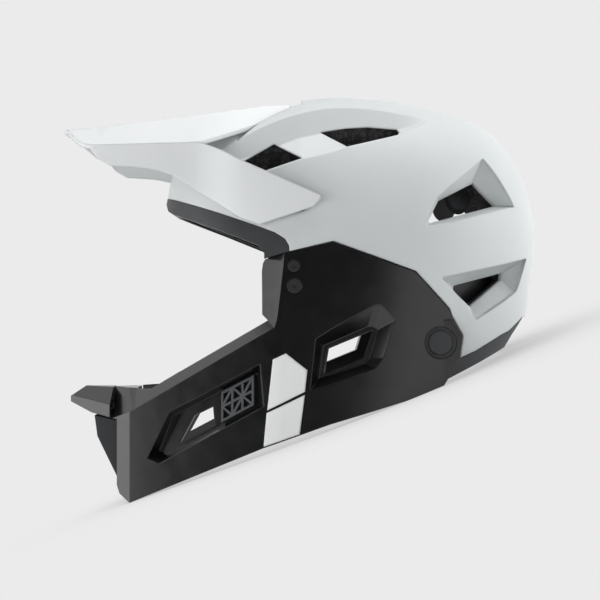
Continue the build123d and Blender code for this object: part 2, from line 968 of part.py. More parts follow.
hollows = [
    shaving(long_bevel_area_shares, long_bevel_shares),
    shaving(port_bevel_area_shares, port_bevel_shares),
    shaving(brim_bevel_area_shares, brim_bevel_shares),
    funnel(bar_plane, front_rim, front_floor, front_window_depth, 0),
    shaft(bar_plane, front_hole, length_unit / 2),
    funnel(cheek_plane, rear_rim, rear_floor, rear_window_depth, 0),
    shaft(cheek_plane, rear_hole, length_unit / 2),
    side_prism(side(mouth_hole_shares), -cut_overrun, mouth_hole_half_width),
    crossed(
        side_prism(side(brim_hollow_shares), -cut_overrun, brim_hollow_half_width),
        plan_slab(frame_wall),
    ),
    foam_space,
    beyond(side(stripe_top_shares), stripe_thickness + layer_gap, slide_fit),
    beyond(side(stripe_low_shares), stripe_thickness + layer_gap, slide_fit),
    peg(button_share, bezel_radius + slide_fit, bezel_seat, far),
    peg(button_share, button_radius + slide_fit, button_floor, far),
    peg(button_share, spring_well_radius, spring_well_floor, far),
    peg(button_share, stem_radius + slide_fit, 0, far),
]
for x_share, z_share, radius_share in plug_shares:
    plug_bore = radius_share * width_unit + slide_fit
    hollows.append(peg((x_share, z_share), plug_bore, plug_out - plug_length, far))

with BuildPart() as half_frame:
    add(crossed(side_prism(frame_side, 0, far), plan_slab()))
    add(side_prism(side(boss_shares), pocket_half_width, boss_half_width))
    with BuildSketch(Plane.XY.offset(slab_low)):
        with BuildLine():
            Polyline(*frame_inner, close=True)
        make_face()
    extrude(amount=slab_height, mode=Mode.SUBTRACT)
    add(hollows, mode=Mode.SUBTRACT)

with BuildPart() as chin_bar:
    add(both(half_frame.part))

# Pieces set into the chin bar's skin
with BuildPart() as chin_foam_left:
    add(
        crossed(
            side_prism(side(chin_foam_shares), pocket_half_width + seat_gap, far, -seat_gap),
            plan_slab(frame_wall + seat_gap),
        )
    )

with BuildPart() as upper_stripe_left:
    add(beyond(side(stripe_top_shares), stripe_thickness))
    add(plan_slab(-stripe_proud), mode=Mode.INTERSECT)

with BuildPart() as lower_stripe_left:
    add(beyond(side(stripe_low_shares), stripe_thickness))
    add(plan_slab(-stripe_proud), mode=Mode.INTERSECT)

grille_corners = [Vector(x, y) for x, y in seen_on(front_base, side(grille_shares))]


def grille_spot(column, row):
    """A crossing of the grille's bars on the window's plane."""
    low = grille_corners[0] + (grille_corners[1] - grille_corners[0]) * (column / grille_bays)
    high = grille_corners[3] + (grille_corners[2] - grille_corners[3]) * (column / grille_bays)
    return low + (high - low) * (row / grille_rows)


def grille_hole(first, second, third):
    """A triangular hole of the grille, with half a bar left around it."""
    with BuildSketch() as hole:
        with BuildLine():
            Polyline(first, second, third, close=True)
        make_face()
        offset(amount=-grille_bar / 2, kind=Kind.INTERSECTION)
    return hole.sketch


grille_holes = []
for column in range(grille_bays):
    for row in range(grille_rows):
        low_near = grille_spot(column, row)
        low_far = grille_spot(column + 1, row)
        high_near = grille_spot(column, row + 1)
        high_far = grille_spot(column + 1, row + 1)
        if (column + row) % 2:
            grille_holes.append(grille_hole(low_near, low_far, high_far))
            grille_holes.append(grille_hole(low_near, high_far, high_near))
        else:
            grille_holes.append(grille_hole(low_near, low_far, high_near))
            grille_holes.append(grille_hole(low_far, high_far, high_near))

with BuildPart() as side_grille_left:
    with BuildSketch(bar_plane.offset(-front_window_depth + layer_gap)):
        with BuildLine():
            Polyline(*grille_corners, close=True)
        make_face()
        offset(amount=grille_bar / 2, kind=Kind.INTERSECTION)
        add(grille_holes, mode=Mode.SUBTRACT)
    extrude(amount=grille_thickness)

with BuildPart() as mouth_vent:
    add(both(side_prism(side(mouth_side_shares), 0, mouth_half_width)))
    add(
        both(side_prism(side(mouth_core_shares), 0, mouth_half_width - mouth_wall)),
        mode=Mode.SUBTRACT,
    )
    with BuildSketch(Plane.YZ.offset(-far)):
        for number in range(mouth_slots):
            slot_z = mouth_slot_share * height_unit - number * mouth_slot_pitch
            slot_width = 2 * (mouth_half_width - 2 * mouth_wall - number * mouth_wall)
            with Locations((0, slot_z)):
                SlotOverall(slot_width, mouth_slot_height)
    extrude(amount=far + mouth_core_shares[0][0] * length_unit, mode=Mode.SUBTRACT)

with BuildPart() as chin_pad:
    with BuildSketch(Plane.YZ.offset(inner_plan[-1][0] + pad_clearance)):
        with Locations((0, chin_pad_share * height_unit)):
            Rectangle(2 * chin_pad_half_width, chin_pad_height)
    extrude(amount=chin_pad_thickness)
    fillet(chin_pad.faces().sort_by(Axis.X)[-1].edges(), radius=pad_round)

# Release button, its bezel and spring, and the latch behind it
with BuildPart() as release_button_left:
    add(peg(button_share, button_radius, bezel_seat, bezel_seat + button_height))
    add(peg(button_share, stem_radius, bezel_seat - stem_length, bezel_seat))
    cap_rim = release_button_left.faces().sort_by(Axis.Y)[0].edges()
    chamfer(cap_rim, length=spring_wire_radius)

with BuildPart() as button_bezel_left:
    add(peg(button_share, bezel_radius, bezel_seat, boss_half_width + bezel_proud))
    add(peg(button_share, button_radius + slide_fit, 0, far), mode=Mode.SUBTRACT)

with BuildPart() as button_spring_left:
    coil_height = bezel_seat - spring_well_floor - 2 * spring_wire_radius - 2 * slide_fit
    with BuildLine():
        coil = Helix(
            pitch=coil_height / spring_turns,
            height=coil_height,
            radius=spring_coil_radius,
            center=(button_x, -spring_well_floor - spring_wire_radius - slide_fit, button_z),
            direction=(0, -1, 0),
        )
    with BuildSketch(Plane(origin=coil @ 0, z_dir=coil % 0)):
        Circle(spring_wire_radius)
    sweep()

bolt_top = bolt_level + bolt_width
with BuildPart() as latch_bolt_left:
    add(latch_block(bolt_start, bolt_length, bolt_height, bolt_level, bolt_top))

with BuildPart() as latch_housing_left:
    add(
        latch_block(
            -latch_back,
            latch_back + latch_front,
            latch_height,
            latch_half_width,
            pocket_half_width + seat_gap - slide_fit,
        )
    )
    add(
        latch_block(
            bolt_start - bolt_travel - slide_fit,
            far,
            bolt_height + 2 * slide_fit,
            bolt_level - slide_fit,
            bolt_top + slide_fit,
        ),
        mode=Mode.SUBTRACT,
    )
    add(
        peg(button_share, stem_radius + layer_gap, bolt_top + slide_fit, far),
        mode=Mode.SUBTRACT,
    )

with BuildPart() as latch_receiver_left:
    add(
        latch_block(
            receiver_start,
            receiver_length,
            receiver_height,
            receiver_level,
            receiver_level + receiver_depth,
        )
    )
    add(
        latch_block(
            0,
            bolt_start + bolt_length + slide_fit,
            bolt_height + 2 * slide_fit,
            bolt_level - slide_fit,
            bolt_top + slide_fit,
        ),
        mode=Mode.SUBTRACT,
    )

plugs = []
for x_share, z_share, radius_share in plug_shares:
    plug_radius = radius_share * width_unit
    with BuildPart() as plug:
        add(peg((x_share, z_share), plug_radius, plug_out - plug_length + layer_gap, plug_out))
        add(
            peg((x_share, z_share), plug_socket_radius, plug_out - plug_socket_depth, far),
            mode=Mode.SUBTRACT,
        )
    plugs.append(plug.part)
upper_plug_left, lower_plug_left = plugs

# Visor with its two arms and pivot pegs
roof_plan = [(x * length_unit, -y * width_unit) for x, y in roof_plan_shares]
arm_outer = [(x * length_unit, -y * width_unit) for x, y in arm_plan_shares]
arm_inner = [(x, y + visor_wall) for x, y in reversed(arm_outer)]


def upright(points):
    """A plan outline on the left as an upright slab around the visor."""
    with BuildPart() as slab:
        with BuildSketch(Plane.XY):
            with BuildLine():
                Polyline(*points, close=True)
            make_face()
        extrude(amount=far)
    return slab.part


with BuildPart() as visor:
    add(roof(0, visor_wall))
    add(upright(roof_plan + [(x, -y) for x, y in reversed(roof_plan[1:-1])]), mode=Mode.INTERSECT)
    add(both(crossed(upright(arm_outer + arm_inner), side_prism(side(arm_side_shares), 0, far))))
    add(both(peg(visor_pivot_share, pivot_radius, pivot_inner, pivot_outer)))

with BuildPart() as visor_socket_left:
    add(peg(visor_pivot_share, socket_radius, socket_inner, socket_outer))
    add(peg(visor_pivot_share, pivot_radius + hinge_fit, 0, far), mode=Mode.SUBTRACT)

# Pads, discs, straps and the fitting band inside
pad_inset = cavity_inset + pad_clearance
pad_floor = pad_inset + pad_thickness
crown_pad_area = side_prism(
    side(crown_pad_side_shares),
    crown_pad_inner_share * width_unit,
    crown_pad_outer_share * width_unit,
)
brow_pad = skin_piece(profile_slab(side(brow_pad_shares)), pad_inset, pad_floor)
crown_pad_left = skin_piece(crown_pad_area, pad_inset, pad_floor)
ear_pad_left = skin_piece(
    side_prism(side(ear_pad_shares), 0, far), pad_inset, pad_inset + ear_pad_thickness
)

with BuildPart() as cheek_pad_left:
    add(side_prism(side(cheek_pad_shares), cheek_pad_level - cheek_pad_thickness, cheek_pad_level))
    fillet(cheek_pad_left.faces().sort_by(Axis.Y)[-1].edges(), radius=pad_round)

disc_level = cavity_inset + layer_gap
slip_discs = []
for turn, tilt in disc_turns:
    turn = math.radians(turn)
    tilt = math.radians(tilt)
    lie = (math.sin(turn) * math.cos(tilt), -math.sin(tilt), math.cos(turn) * math.cos(tilt))
    with BuildPart() as post:
        with BuildSketch(Plane(origin=(hub_x, 0, hub_z), z_dir=lie)):
            Circle(disc_radius)
        extrude(amount=far)
    slip_discs.append(skin_piece(post.part, disc_level, disc_level + disc_thickness))

strap_x = strap_place_share * length_unit
strap_spots = [(y * width_unit, z * height_unit) for y, z in strap_path_shares]
with BuildPart() as chin_strap_left:
    with BuildSketch(Plane.YZ.offset(strap_x - strap_width / 2)):
        with BuildLine() as strap_line:
            FilletPolyline(*strap_spots, radius=strap_corner)
        trace(lines=strap_line.line, line_width=strap_thickness)
    extrude(amount=strap_width)
    add(peg(anchor_share, anchor_pin + layer_gap, 0, far), mode=Mode.SUBTRACT)

anchor_level = -strap_spots[1][0] - strap_thickness / 2 - layer_gap
with BuildPart() as strap_anchor_left:
    add(peg(anchor_share, anchor_radius, anchor_level - anchor_height, anchor_level))
    add(peg(anchor_share, anchor_pin, anchor_level - anchor_height, anchor_end - layer_gap))

strap_end_y, strap_end_z = strap_spots[-1]
buckle_reach = -strap_end_y - layer_gap
with BuildPart() as buckle_socket:
    with BuildSketch(Plane.XY.offset(strap_end_z - buckle_height / 2)):
        with Locations((strap_x, -buckle_reach / 2)):
            RectangleRounded(buckle_width, buckle_reach, buckle_wall)
    extrude(amount=buckle_height)
    with BuildSketch(Plane.XY.offset(strap_end_z - buckle_height / 2 + buckle_wall)):
        with Locations((strap_x, -buckle_reach / 2 + buckle_wall)):
            Rectangle(buckle_width - 2 * buckle_wall, buckle_reach)
    extrude(amount=buckle_height - 2 * buckle_wall, mode=Mode.SUBTRACT)

with BuildPart() as buckle_tab:
    with BuildSketch(Plane.XY.offset(strap_end_z - buckle_height / 2)):
        with Locations((strap_x, buckle_reach / 2 + slide_fit)):
            RectangleRounded(buckle_width, buckle_reach, buckle_wall)
    extrude(amount=buckle_height)
    with BuildSketch(Plane.XY.offset(strap_end_z - buckle_height / 2 + buckle_wall + slide_fit)):
        with Locations((strap_x, 0)):
            Rectangle(buckle_width - 2 * buckle_wall - 2 * slide_fit, 2 * tab_reach)
    extrude(amount=buckle_height - 2 * buckle_wall - 2 * slide_fit)
    with BuildSketch(Plane.XY.offset(strap_end_z - magnet_height / 2 - slide_fit)):
        with Locations((strap_x, -tab_reach / 4)):
            Circle(magnet_radius + slide_fit)
    extrude(amount=magnet_height + 2 * slide_fit, mode=Mode.SUBTRACT)

with BuildPart() as buckle_magnet:
    with BuildSketch(Plane.XY.offset(strap_end_z - magnet_height / 2)):
        with Locations((strap_x, -tab_reach / 4)):
            Circle(magnet_radius)
    extrude(amount=magnet_height)

cradle_level = cavity_inset + cradle_inset
fit_cradle = skin_piece(
    profile_slab(side(cradle_shares)), cradle_level, cradle_level + cradle_thickness
)

dial_z = dial_height_share * height_unit
with BuildPart() as fit_dial_housing:
    with BuildSketch(Plane.YZ.offset(dial_back)):
        with Locations((0, dial_z)):
            RectangleRounded(housing_width, housing_height, pad_round)
    extrude(amount=-housing_reach)
    add(dome(cradle_level - layer_gap), mode=Mode.SUBTRACT)
    with BuildSketch(Plane.YZ.offset(dial_back)):
        with Locations((0, dial_z)):
            Circle(spindle_radius + hinge_fit)
    extrude(amount=-spindle_length - slide_fit, mode=Mode.SUBTRACT)

with BuildPart() as fit_dial:
    with BuildSketch(Plane.YZ.offset(dial_back + seat_gap)):
        with Locations((0, dial_z)):
            Circle(dial_radius)
            with PolarLocations(dial_radius, dial_ribs):
                Circle(dial_rib_radius, mode=Mode.SUBTRACT)
    extrude(amount=dial_thickness)
    with BuildSketch(Plane.YZ.offset(dial_back - spindle_length)):
        with Locations((0, dial_z)):
            Circle(spindle_radius)
    extrude(amount=spindle_length + seat_gap)

# Every piece laid down so that the helmet stands on its chin and the two heels
single_pieces = {
    "outer_shell": outer_shell.part,
    "foam_liner": foam_liner.part,
    "brow_trim": brow_trim.part,
    "rear_trim": rear_trim.part,
    "brow_pad": brow_pad,
    "buckle_socket": buckle_socket.part,
    "buckle_tab": buckle_tab.part,
    "buckle_magnet": buckle_magnet.part,
    "fit_cradle": fit_cradle,
    "fit_dial_housing": fit_dial_housing.part,
    "fit_dial": fit_dial.part,
    "visor": visor.part,
    "chin_bar": chin_bar.part,
    "mouth_vent": mouth_vent.part,
    "chin_pad": chin_pad.part,
}
paired_pieces = {
    "visor_socket": visor_socket_left.part,
    "latch_receiver": latch_receiver_left.part,
    "crown_pad": crown_pad_left,
    "ear_pad": ear_pad_left,
    "cheek_pad": cheek_pad_left.part,
    "front_slip_disc": slip_discs[0],
    "rear_slip_disc": slip_discs[1],
    "chin_strap": chin_strap_left.part,
    "strap_anchor": strap_anchor_left.part,
    "chin_foam": chin_foam_left.part,
    "upper_stripe": upper_stripe_left.part,
    "lower_stripe": lower_stripe_left.part,
    "side_grille": side_grille_left.part,
    "release_button": release_button_left.part,
    "button_bezel": button_bezel_left.part,
    "button_spring": button_spring_left.part,
    "latch_bolt": latch_bolt_left.part,
    "latch_housing": latch_housing_left.part,
    "upper_plug": upper_plug_left,
    "lower_plug": lower_plug_left,
}
pieces = dict(single_pieces)
for name, part in paired_pieces.items():
    pieces[name + "_left"], pieces[name + "_right"] = both(part)

laid = {name: Rot(0, floor_tilt, 0) * part for name, part in pieces.items()}
boxes = [part.bounding_box() for part in laid.values()]
middle_x = (min(box.min.X for box in boxes) + max(box.max.X for box in boxes)) / 2
floor_z = min(box.min.Z for box in boxes)

os.makedirs("parts", exist_ok=True)
for name, part in laid.items():
    standing = Pos(-middle_x, 0, -floor_z) * part
    standing.label = name
    export_step(standing, f"parts/{name}.step")
print("laid down by", floor_tilt, "then moved by", -middle_x, 0, -floor_z)
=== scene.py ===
# %% [markdown]
# # A full face helmet for downhill riding
#
# This lesson dresses a helmet that was already built as solid parts: a white shell over
# black bead foam, a white visor on two pivots, and a black chin bar that comes off when
# its two side buttons are pressed. The solids arrive in real metres, each one riding on
# the body that it moves with. What is left to do here is what a solid modeller is poor
# at: soft pads, woven straps, honest surfaces, light and a camera.

import math

import bmesh
import bpy
from mathutils import Matrix, Vector


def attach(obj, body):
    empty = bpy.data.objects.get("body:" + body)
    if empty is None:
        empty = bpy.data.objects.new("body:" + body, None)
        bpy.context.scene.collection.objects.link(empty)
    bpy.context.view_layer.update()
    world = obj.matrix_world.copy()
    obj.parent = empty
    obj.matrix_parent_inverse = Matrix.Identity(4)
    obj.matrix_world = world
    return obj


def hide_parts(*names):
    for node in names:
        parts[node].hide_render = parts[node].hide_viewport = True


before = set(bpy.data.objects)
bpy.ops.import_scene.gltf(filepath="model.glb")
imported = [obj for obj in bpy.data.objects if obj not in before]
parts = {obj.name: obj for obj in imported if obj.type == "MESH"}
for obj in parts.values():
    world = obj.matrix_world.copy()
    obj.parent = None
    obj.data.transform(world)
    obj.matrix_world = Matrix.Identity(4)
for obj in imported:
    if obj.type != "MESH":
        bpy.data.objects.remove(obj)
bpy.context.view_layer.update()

# %% [markdown]
# ## Two ways of holding the same helmet
#
# A helmet is easiest to describe the way it is worn, with the brow level. On a table it
# leans back on its chin and on the two heels of the chin bar. The solids stand on the
# table, so one small function turns a point of the worn helmet, in millimetres, into a
# point of the standing one, in metres.

# %% From the worn helmet to the standing one
LEAN = math.radians(21.456784)
STEP_BACK = 48.713
STEP_UP = 102.973


def worn(x, y, z):
    """A point of the worn helmet in millimetres, as a point of the standing one in metres."""
    along = x * math.cos(LEAN) + z * math.sin(LEAN) + STEP_BACK
    up = z * math.cos(LEAN) - x * math.sin(LEAN) + STEP_UP
    return Vector((along, y, up)) / 1000


WORN_UP = Vector((math.sin(LEAN), 0, math.cos(LEAN)))
print("the chin touches the table at", [round(v, 4) for v in worn(-159, 0, -173)])

# %% [markdown]
# ## Surfaces
#
# Every finish below starts from the same shader, Principled, and differs in three
# things: how the colour wanders, how rough it is, and what its skin is like close up.
# Colour and bump both come from noise that is measured in the helmet's own metres, so
# the grain keeps its size on every part.

# %% A finish with wandering colour and a fine skin
COAT_ROUGHNESS = 0.25
SHEEN_ROUGHNESS = 0.4
EDGE_SAMPLES = 6


def new_finish(name, roughness, metallic=0.0, coat=0.0, sheen=0.0):
    """A Principled material, its node tree, its shader and its object coordinates."""
    finish = bpy.data.materials.new(name)
    finish.use_nodes = True
    tree = finish.node_tree
    shader = tree.nodes["Principled BSDF"]
    shader.inputs["Roughness"].default_value = roughness
    shader.inputs["Metallic"].default_value = metallic
    shader.inputs["Coat Weight"].default_value = coat
    shader.inputs["Coat Roughness"].default_value = COAT_ROUGHNESS
    shader.inputs["Sheen Weight"].default_value = sheen
    shader.inputs["Sheen Roughness"].default_value = SHEEN_ROUGHNESS
    where = tree.nodes.new("ShaderNodeTexCoord")
    return finish, tree, shader, where.outputs["Object"]


def noise_at(tree, spot, scale, detail=3.0):
    """Noise whose features are about one over scale metres apart."""
    grain = tree.nodes.new("ShaderNodeTexNoise")
    grain.inputs["Scale"].default_value = scale
    grain.inputs["Detail"].default_value = detail
    tree.links.new(spot, grain.inputs["Vector"])
    return grain.outputs["Fac"]


def ramp(tree, factor, low, high, start=0.3, end=0.7):
    """Two colours, blended where the factor goes from start to end."""
    blend = tree.nodes.new("ShaderNodeValToRGB")
    blend.color_ramp.elements[0].position = start
    blend.color_ramp.elements[0].color = (*low, 1)
    blend.color_ramp.elements[1].position = end
    blend.color_ramp.elements[1].color = (*high, 1)
    tree.links.new(factor, blend.inputs["Fac"])
    return blend.outputs["Color"]


def skin(tree, shader, height, depth, strength, edge=0.0):
    """Bump from a height, over edges that are rounded by a small radius."""
    bump = tree.nodes.new("ShaderNodeBump")
    bump.inputs["Strength"].default_value = strength
    bump.inputs["Distance"].default_value = depth
    tree.links.new(height, bump.inputs["Height"])
    if edge:
        soft = tree.nodes.new("ShaderNodeBevel")
        soft.samples = EDGE_SAMPLES
        soft.inputs["Radius"].default_value = edge
        tree.links.new(soft.outputs["Normal"], bump.inputs["Normal"])
    tree.links.new(bump.outputs["Normal"], shader.inputs["Normal"])


def uneven_gloss(tree, shader, factor, smoothest, roughest):
    """Roughness that drifts with a factor from its lowest to its highest value."""
    drift = tree.nodes.new("ShaderNodeMapRange")
    drift.inputs["To Min"].default_value = smoothest
    drift.inputs["To Max"].default_value = roughest
    tree.links.new(factor, drift.inputs["Value"])
    tree.links.new(drift.outputs["Result"], shader.inputs["Roughness"])


# %% [markdown]
# ### White paint
#
# The shell is sprayed with a satin white over moulded plastic, and the visor and the
# stripes on the chin bar are white paint too. The three whites differ as painted light and
# shade: the shell's white is set darker, as painted shade on its sides, and the visor's and
# the stripes' whites are set lighter, as painted light on their sides. A real coat is never
# quite even, so its white drifts by a few per cent over a hand's width, its gloss drifts
# too, and a faint orange peel, under a millimetre across, breaks up the reflections. The
# paint also rounds every edge by a millimetre or two, which only the shading has to show.

# %% Satin white paint
PAINT_DRIFT_SCALE = 14
PAINT_GLOSS_SCALE = 60
ORANGE_PEEL_SCALE = 1100
PAINT_EDGE = 0.0020
PAINT_COAT = 0.12
PEEL_DEPTH = 0.00005
PEEL_STRENGTH = 0.35


def painted_white(name, low, high, roughness):
    """Satin paint between two whites that lie close together."""
    finish, tree, shader, spot = new_finish(name, roughness, coat=PAINT_COAT)
    drift = noise_at(tree, spot, PAINT_DRIFT_SCALE)
    tree.links.new(ramp(tree, drift, low, high), shader.inputs["Base Color"])
    gloss = noise_at(tree, spot, PAINT_GLOSS_SCALE)
    uneven_gloss(tree, shader, gloss, roughness - 0.05, roughness + 0.06)
    peel = noise_at(tree, spot, ORANGE_PEEL_SCALE, 1.0)
    skin(tree, shader, peel, PEEL_DEPTH, PEEL_STRENGTH, edge=PAINT_EDGE)
    return finish


# The shell's white is set darker as painted shade; the visor's and the stripes' whites are set
# lighter as painted light.
shell_white_painted_shade = painted_white("shell_white_painted_shade", (0.63, 0.66, 0.665), (0.67, 0.695, 0.70), 0.42)
visor_white_painted_light = painted_white("visor_white_painted_light", (0.78, 0.80, 0.805), (0.82, 0.84, 0.845), 0.42)
stripe_white_painted_light = painted_white("stripe_white_painted_light", (0.86, 0.87, 0.87), (0.89, 0.90, 0.90), 0.36)
print("painted whites:", shell_white_painted_shade.name, visor_white_painted_light.name, stripe_white_painted_light.name)

# %% [markdown]
# ### Black chin bar and dark fittings
#
# The chin bar is moulded in a deep glossy black, so it shows the studio more than its own
# colour, broken a little by a gloss that drifts. The trims, the mouth vent and the round
# buttons are a lighter, rubbery black with a spark eroded grain. The lattice in the front
# window is dark grey, and the fittings, such as plugs, buckle and dial, lie between the
# bar and the trims. One function makes all of them.

# %% Moulded black plastic
MOULD_CLOUD_SCALE = 22
MOULD_GLOSS_SCALE = 90
GRAIN_STRENGTH = 0.5


def moulded_black(name, low, high, roughness, grain, depth, edge=0.0006):
    """Moulded plastic, whose grain has so many bumps a metre, each of some depth in metres."""
    finish, tree, shader, spot = new_finish(name, roughness)
    cloud = noise_at(tree, spot, MOULD_CLOUD_SCALE)
    tree.links.new(ramp(tree, cloud, low, high), shader.inputs["Base Color"])
    gloss = noise_at(tree, spot, MOULD_GLOSS_SCALE)
    uneven_gloss(tree, shader, gloss, roughness - 0.06, roughness + 0.08)
    skin(tree, shader, noise_at(tree, spot, grain, 2.0), depth, GRAIN_STRENGTH, edge=edge)
    return finish


bar_black = moulded_black(
    "bar_black", (0.006, 0.006, 0.006), (0.008, 0.008, 0.009), 0.20, 1700, 0.00001, 0.0009
)
trim_black = moulded_black(
    "trim_black", (0.030, 0.032, 0.035), (0.040, 0.042, 0.046), 0.55, 1300, 0.00008
)
fitting_black = moulded_black(
    "fitting_black", (0.008, 0.008, 0.009), (0.013, 0.013, 0.014), 0.34, 2400, 0.00003
)
grille_grey = moulded_black(
    "grille_grey", (0.045, 0.048, 0.052), (0.065, 0.069, 0.074), 0.5, 1500, 0.00005
)
blacks = (bar_black, trim_black, fitting_black, grille_grey)
print("moulded blacks:", [black.name for black in blacks])

# %% [markdown]
# ### Bead foam
#
# Behind the vents lies black expanded foam. It is moulded from beads three or four
# millimetres across that are pressed flat against each other, so its surface is a mosaic
# of rounded cells with sunken seams. A Voronoi texture is exactly that mosaic: its
# distance to the nearest edge gives the seams their depth, and it also darkens the colour
# along them as painted shade in the grooves.

# %% Black bead foam
BEADS_PER_METRE = 290
SEAM_DEPTH = 0.0012
bead_foam, tree, shader, spot = new_finish("bead_foam", 0.72)
cells = tree.nodes.new("ShaderNodeTexVoronoi")
cells.feature = "DISTANCE_TO_EDGE"
cells.inputs["Scale"].default_value = BEADS_PER_METRE
tree.links.new(spot, cells.inputs["Vector"])
mottle = tree.nodes.new("ShaderNodeTexVoronoi")
mottle.inputs["Scale"].default_value = BEADS_PER_METRE
tree.links.new(spot, mottle.inputs["Vector"])
bead = ramp(tree, mottle.outputs["Color"], (0.022, 0.022, 0.023), (0.050, 0.050, 0.050))
# The colour darkens towards each seam: painted shade in the grooves between the beads.
seam_painted_shade = ramp(tree, cells.outputs["Distance"], (0.25, 0.25, 0.25), (1, 1, 1), 0.0, 0.14)
shade = tree.nodes.new("ShaderNodeMix")
shade.data_type = "RGBA"
shade.blend_type = "MULTIPLY"
shade.inputs["Factor"].default_value = 1.0
tree.links.new(bead, shade.inputs["A"])
tree.links.new(seam_painted_shade, shade.inputs["B"])
tree.links.new(shade.outputs["Result"], shader.inputs["Base Color"])
skin(tree, shader, cells.outputs["Distance"], SEAM_DEPTH, 0.9)
print("beads about", round(1000 / BEADS_PER_METRE, 1), "mm across")

# %% [markdown]
# ### Pad cloth, webbing, rubber and steel
#
# The pads wear a brushed knit, so its finish is a fine crossed weave with a little
# sheen. Webbing is the same weave, coarser and smoother. The discs under the pads are
# dark grey rubber, and the springs, bolts and the buckle's magnet are steel that is
# brushed to a fine grain.

# %% Woven finishes
CLOTH_ROUGHNESS = 0.85
FUZZ_SCALE = 500
THREAD_WANDER = 0.6


def woven(name, low, high, threads, depth, sheen):
    """Cloth: two crossed sets of threads with fuzz on top."""
    finish, tree, shader, spot = new_finish(name, CLOTH_ROUGHNESS, sheen=sheen)
    ways = []
    for axis in ("X", "Z"):
        wave = tree.nodes.new("ShaderNodeTexWave")
        wave.bands_direction = axis
        wave.inputs["Scale"].default_value = threads
        wave.inputs["Distortion"].default_value = THREAD_WANDER
        tree.links.new(spot, wave.inputs["Vector"])
        ways.append(wave.outputs["Fac"])
    weave = tree.nodes.new("ShaderNodeMath")
    weave.operation = "MULTIPLY"
    tree.links.new(ways[0], weave.inputs[0])
    tree.links.new(ways[1], weave.inputs[1])
    fuzz = noise_at(tree, spot, FUZZ_SCALE)
    total = tree.nodes.new("ShaderNodeMath")
    tree.links.new(weave.outputs[0], total.inputs[0])
    tree.links.new(fuzz, total.inputs[1])
    colour = ramp(tree, total.outputs[0], low, high, 0.3, 1.2)
    tree.links.new(colour, shader.inputs["Base Color"])
    skin(tree, shader, total.outputs[0], depth, 0.6)
    return finish


pad_cloth = woven("pad_cloth", (0.012, 0.012, 0.014), (0.040, 0.040, 0.044), 260, 0.0003, 0.4)
strap_cloth = woven(
    "strap_cloth", (0.008, 0.008, 0.009), (0.030, 0.030, 0.032), 170, 0.0004, 0.25
)
print("cloths:", pad_cloth.name, strap_cloth.name)

# %% Rubber and steel
disc_rubber, tree, shader, spot = new_finish("disc_rubber", 0.6)
tree.links.new(
    ramp(tree, noise_at(tree, spot, 150), (0.020, 0.021, 0.023), (0.032, 0.033, 0.036)),
    shader.inputs["Base Color"],
)
skin(tree, shader, noise_at(tree, spot, 1200), 0.0001, 0.4, edge=0.0005)
bright_steel, tree, shader, spot = new_finish("bright_steel", 0.3, metallic=1.0)
tree.links.new(
    ramp(tree, noise_at(tree, spot, 400), (0.42, 0.42, 0.42), (0.62, 0.62, 0.61)),
    shader.inputs["Base Color"],
)
skin(tree, shader, noise_at(tree, spot, 3000), 0.00004, 0.4)
print("small finishes:", disc_rubber.name, bright_steel.name)

# %% [markdown]
# ## Dressing the solids
#
# The solids that are already right keep their shape and only get their finish. What isn't
# named below is one of the small fittings. The solids' curved faces arrive as small flats
# whose corners already know which way the true surface faces, so shading them smooth
# turns the dome soft and leaves every fold sharp.

# %% Which finish goes on which part
finishes = {
    "outer_shell": shell_white_painted_shade,
    "visor": visor_white_painted_light,
    "upper_stripe": stripe_white_painted_light,
    "lower_stripe": stripe_white_painted_light,
    "foam_liner": bead_foam,
    "chin_foam": bead_foam,
    "chin_bar": bar_black,
    "brow_trim": trim_black,
    "rear_trim": trim_black,
    "mouth_vent": trim_black,
    "side_grille": grille_grey,
    "release_button": trim_black,
    "front_slip_disc": disc_rubber,
    "rear_slip_disc": disc_rubber,
    "button_spring": bright_steel,
    "latch_bolt": bright_steel,
    "buckle_magnet": bright_steel,
}


def family(name):
    """A part's name without the side that it is on."""
    return name.removesuffix("_left").removesuffix("_right")


for name, part in parts.items():
    part.data.materials.clear()
    part.data.materials.append(finishes.get(family(name), fitting_black))
print("dressed", len(parts), "solids")

# %% Smooth curves, sharp folds
for part in parts.values():
    part.data.polygons.foreach_set("use_smooth", [True] * len(part.data.polygons))
    part.data.update()
print("smoothed", sum(len(part.data.polygons) for part in parts.values()), "faces")

# %% [markdown]
# ## The visor's flared sides
#
# On the real visor each side runs in one soft sweep from the tip to the end of the arm.
# The solid takes that sweep in four straight stretches, which is close enough to carry
# the load but shows as seams in the paint. So a copy of the visor is sliced across every
# few millimetres, and each slice moves out by the small difference between the straight
# stretches and a smooth curve. The curve rounds corners that stand a little further out
# than the solid's, so that nowhere does the visor come nearer to the shell, and the wall
# keeps its thickness, because both of its faces move together.

# %% Where the sides stand: straight stretches and a smooth curve
SIDE_PLAN = ((-181, 62), (-110, 72), (-80, 90.5), (-47, 99.5), (-20, 104))
SWEPT_PLAN = ((-181, 62), (-110, 72), (-80, 92.6), (-47, 100.8), (-20, 104))
BEND_REACH = 28
BEND_STEPS = 12


def straight_half_width(x, plan=SIDE_PLAN):
    """How far from the middle a plan of straight stretches stands, in millimetres."""
    for (x0, y0), (x1, y1) in zip(plan, plan[1:]):
        if x <= x1:
            return y0 + (y1 - y0) * (x - x0) / (x1 - x0)
    return y1


